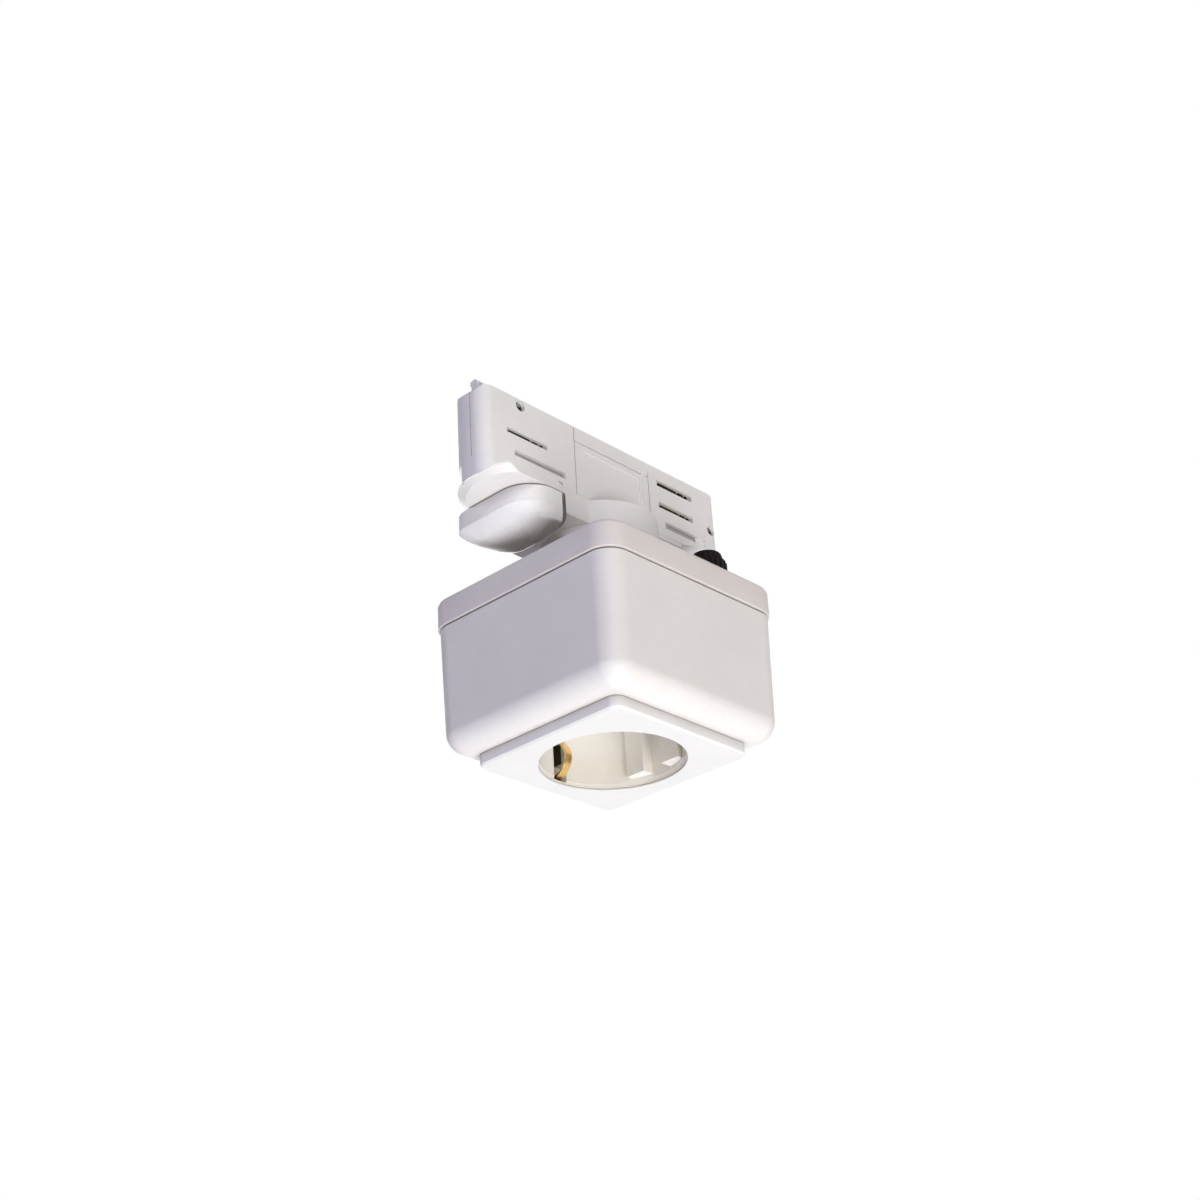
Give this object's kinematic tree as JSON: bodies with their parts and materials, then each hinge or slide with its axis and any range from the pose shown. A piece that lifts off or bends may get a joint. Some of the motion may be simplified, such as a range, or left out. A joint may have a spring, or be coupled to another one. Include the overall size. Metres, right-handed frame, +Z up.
{
  "type": "track socket outlet",
  "caption": "Square socket box with a round side-earthed plug recess, hung under a track adapter with a turning lever, sliding contacts and a screw-out fuse.",
  "frame": {"origin": "centre of the round recess's mouth, in the plane of the face plate's front", "axes": "+Z up, from the plug recess towards the track; +X along the track, from the lever's end to the other end; +Y across the track, away from the contacts' side"},
  "size_m": [0.0923, 0.0672, 0.0934],
  "materials": {
    "box_plastic": "satin moulded plastic, white",
    "cover_plastic": "satin moulded plastic, white",
    "face_plastic": "satin moulded plastic, bright white",
    "cup_plastic": "semi-matt moulded plastic, cream",
    "adapter_plastic": "satin moulded plastic, white",
    "lever_plastic": "satin moulded plastic, white",
    "inner_plastic": "moulded insulating plastic, dark grey",
    "carriage_plastic": "moulded plastic, light grey",
    "black_plastic": "satin moulded plastic, black",
    "brass": "bare brass, slightly dulled",
    "gilt_strip": "plated spring strip, yellow",
    "screw_steel": "zinc-plated steel",
    "tube_steel": "zinc-plated steel",
    "fuse_metal": "nickel-plated",
    "spindle_plastic": "moulded plastic, grey",
    "lead_brown": "soft sleeve, brown",
    "lead_blue": "soft sleeve, blue",
    "lead_green": "soft sleeve, green and yellow"
  },
  "bodies": {
    "box": {"housing": "box_plastic", "screw_posts": "box_plastic", "cover_plate": "cover_plastic", "cover_screws": "screw_steel", "face_plate": "face_plastic", "socket_cup": "cup_plastic", "cup_flange": "cup_plastic", "cup_floor": "cup_plastic", "centre_screw": "screw_steel", "contact_block": "inner_plastic", "contact_sleeve_left": "brass", "contact_sleeve_right": "brass", "earth_bracket": "gilt_strip", "terminal_screws": "screw_steel", "fuse_holder": "black_plastic", "fuse_nut": "black_plastic", "neck_tube": "tube_steel", "neck_nut": "tube_steel", "neck_washer": "tube_steel", "adapter_base": "adapter_plastic", "near_shell": "adapter_plastic", "far_shell": "adapter_plastic", "shell_screws": "screw_steel", "earth_spring": "brass", "lead_phase": "lead_brown", "lead_neutral": "lead_blue", "lead_earth": "lead_green"},
    "lever": {"lever": "lever_plastic", "lever_spindle": "spindle_plastic"},
    "contact_slide": {"contact_carriage": "carriage_plastic", "contact_left": "brass", "contact_right_upper": "brass", "contact_right_lower": "brass"},
    "fuse": {"fuse_link": "fuse_metal"},
    "cap": {"fuse_cap": "black_plastic"}
  },
  "joints": [
    {"name": "lever_turn", "type": "hinge", "parent": "box", "child": "lever", "pos_m": [-0.0305, 0.0008, 0.065], "axis": [0, 0, 1], "range_deg": [0, 90]},
    {"name": "contact_slide", "type": "slide", "parent": "box", "child": "contact_slide", "axis": [0, -1, 0], "range_m": [0, 0.003]},
    {"name": "fuse_lift", "type": "slide", "parent": "box", "child": "fuse", "axis": [0, 0, 1], "range_m": [0, 0.00225]},
    {"name": "cap_turn", "type": "hinge", "parent": "fuse", "child": "cap", "pos_m": [0.0208, -0.0203, 0.05], "axis": [0, 0, 1], "range_deg": [0, 540]}
  ],
  "couplings": [
    {"joint": "contact_slide", "follows": "lever_turn", "m_per_rad": 0.0019099},
    {"joint": "cap_turn", "follows": "fuse_lift", "rad_per_m": 4188.8}
  ]
}
